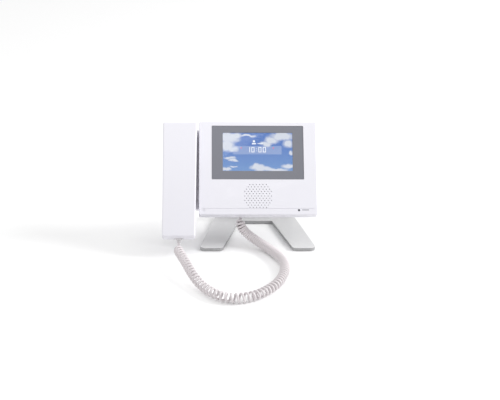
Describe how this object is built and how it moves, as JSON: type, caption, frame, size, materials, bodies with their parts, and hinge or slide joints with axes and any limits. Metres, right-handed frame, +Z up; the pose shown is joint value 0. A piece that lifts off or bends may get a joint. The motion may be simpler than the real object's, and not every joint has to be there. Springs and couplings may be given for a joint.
{
  "type": "video intercom monitor",
  "caption": "Desk video intercom monitor: a tilted white screen unit on a bent sheet-metal stand, with a lift-off side handset on a curly cord.",
  "frame": {"origin": "on the table, under the centre of the outline of the object without its cord", "axes": "+Z up, +X to the right as seen by the user, the screen faces -Y and leans back 35 degrees"},
  "size_m": [0.2102, 0.3015, 0.1636],
  "materials": {
    "shell_white": "satin white ABS with a faint cool tint",
    "rear_white": "fine spark texture",
    "cradle_grey": "fine spark texture",
    "bezel_grey": "satin cool grey lacquer",
    "display": "glossy clear sheet over a lit picture",
    "lcd": "display module",
    "steel": "zinc-plated steel",
    "stand_metal": "satin light-grey powder coat",
    "stand_screw_steel": "pan-head screws, plated",
    "brass": "turned spacers",
    "circuit_green": "solder-mask green",
    "part_black": "moulded component packages",
    "socket_white": "light grey socket body",
    "flex": "polyimide ribbon",
    "speaker_black": "speaker frame and cone",
    "magnet": "plated speaker magnet and handset weight",
    "rubber_black": "soft rubber",
    "lens_dark": "smoked lens",
    "bar_grey": "translucent grey light bar",
    "plunger": "moulded acetal",
    "plug_clear": "clear plug body with a white sleeve",
    "cord_white": "white PVC cord jacket"
  },
  "bodies": {
    "base": {"front_housing": "shell_white", "rear_cover": "rear_white", "screen_bezel": "bezel_grey", "display_glass": "display", "lcd_panel": "lcd", "lcd_bracket": "steel", "board_spacers": "brass", "main_board": "circuit_green", "board_parts": "part_black", "board_screws": "steel", "lcd_flex": "flex", "speaker_gasket": "rubber_black", "speaker_frame": "speaker_black", "speaker_cone": "speaker_black", "speaker_magnet": "magnet", "mic_boot": "rubber_black", "mic_capsule": "steel", "status_lens": "lens_dark", "light_bar": "bar_grey", "indicator_board": "circuit_green", "line_terminals": "circuit_green", "terminal_screws": "steel", "base_jack": "socket_white", "housing_screws": "steel", "cradle_shell": "cradle_grey", "cradle_back": "cradle_grey", "cradle_screws": "steel", "hook_switch": "part_black", "wall_bracket": "steel", "stand_frame": "stand_metal", "stand_screws": "stand_screw_steel", "stand_pads": "rubber_black", "plug_base": "plug_clear", "lead_handset": "cord_white", "cord_coil": "cord_white", "lead_base": "cord_white"},
    "handset": {"handset_front": "shell_white", "handset_back": "shell_white", "earpiece": "speaker_black", "earpiece_gasket": "rubber_black", "handset_mic": "steel", "handset_mic_boot": "rubber_black", "handset_weight": "magnet", "handset_jack": "socket_white", "handset_screws": "steel", "plug_handset": "plug_clear"},
    "hook": {"hook_plunger": "plunger"}
  },
  "joints": [
    {"name": "handset_lift", "type": "slide", "parent": "base", "child": "handset", "axis": [0, -0.8192, 0.5736], "range_m": [0, 0.06]},
    {"name": "hook_plunger_slide", "type": "slide", "parent": "base", "child": "hook", "axis": [0, -0.8192, 0.5736], "range_m": [0, 0.003]}
  ],
  "couplings": [
    {"joint": "hook_plunger_slide", "follows": "handset_lift", "ratio": 0.05}
  ]
}
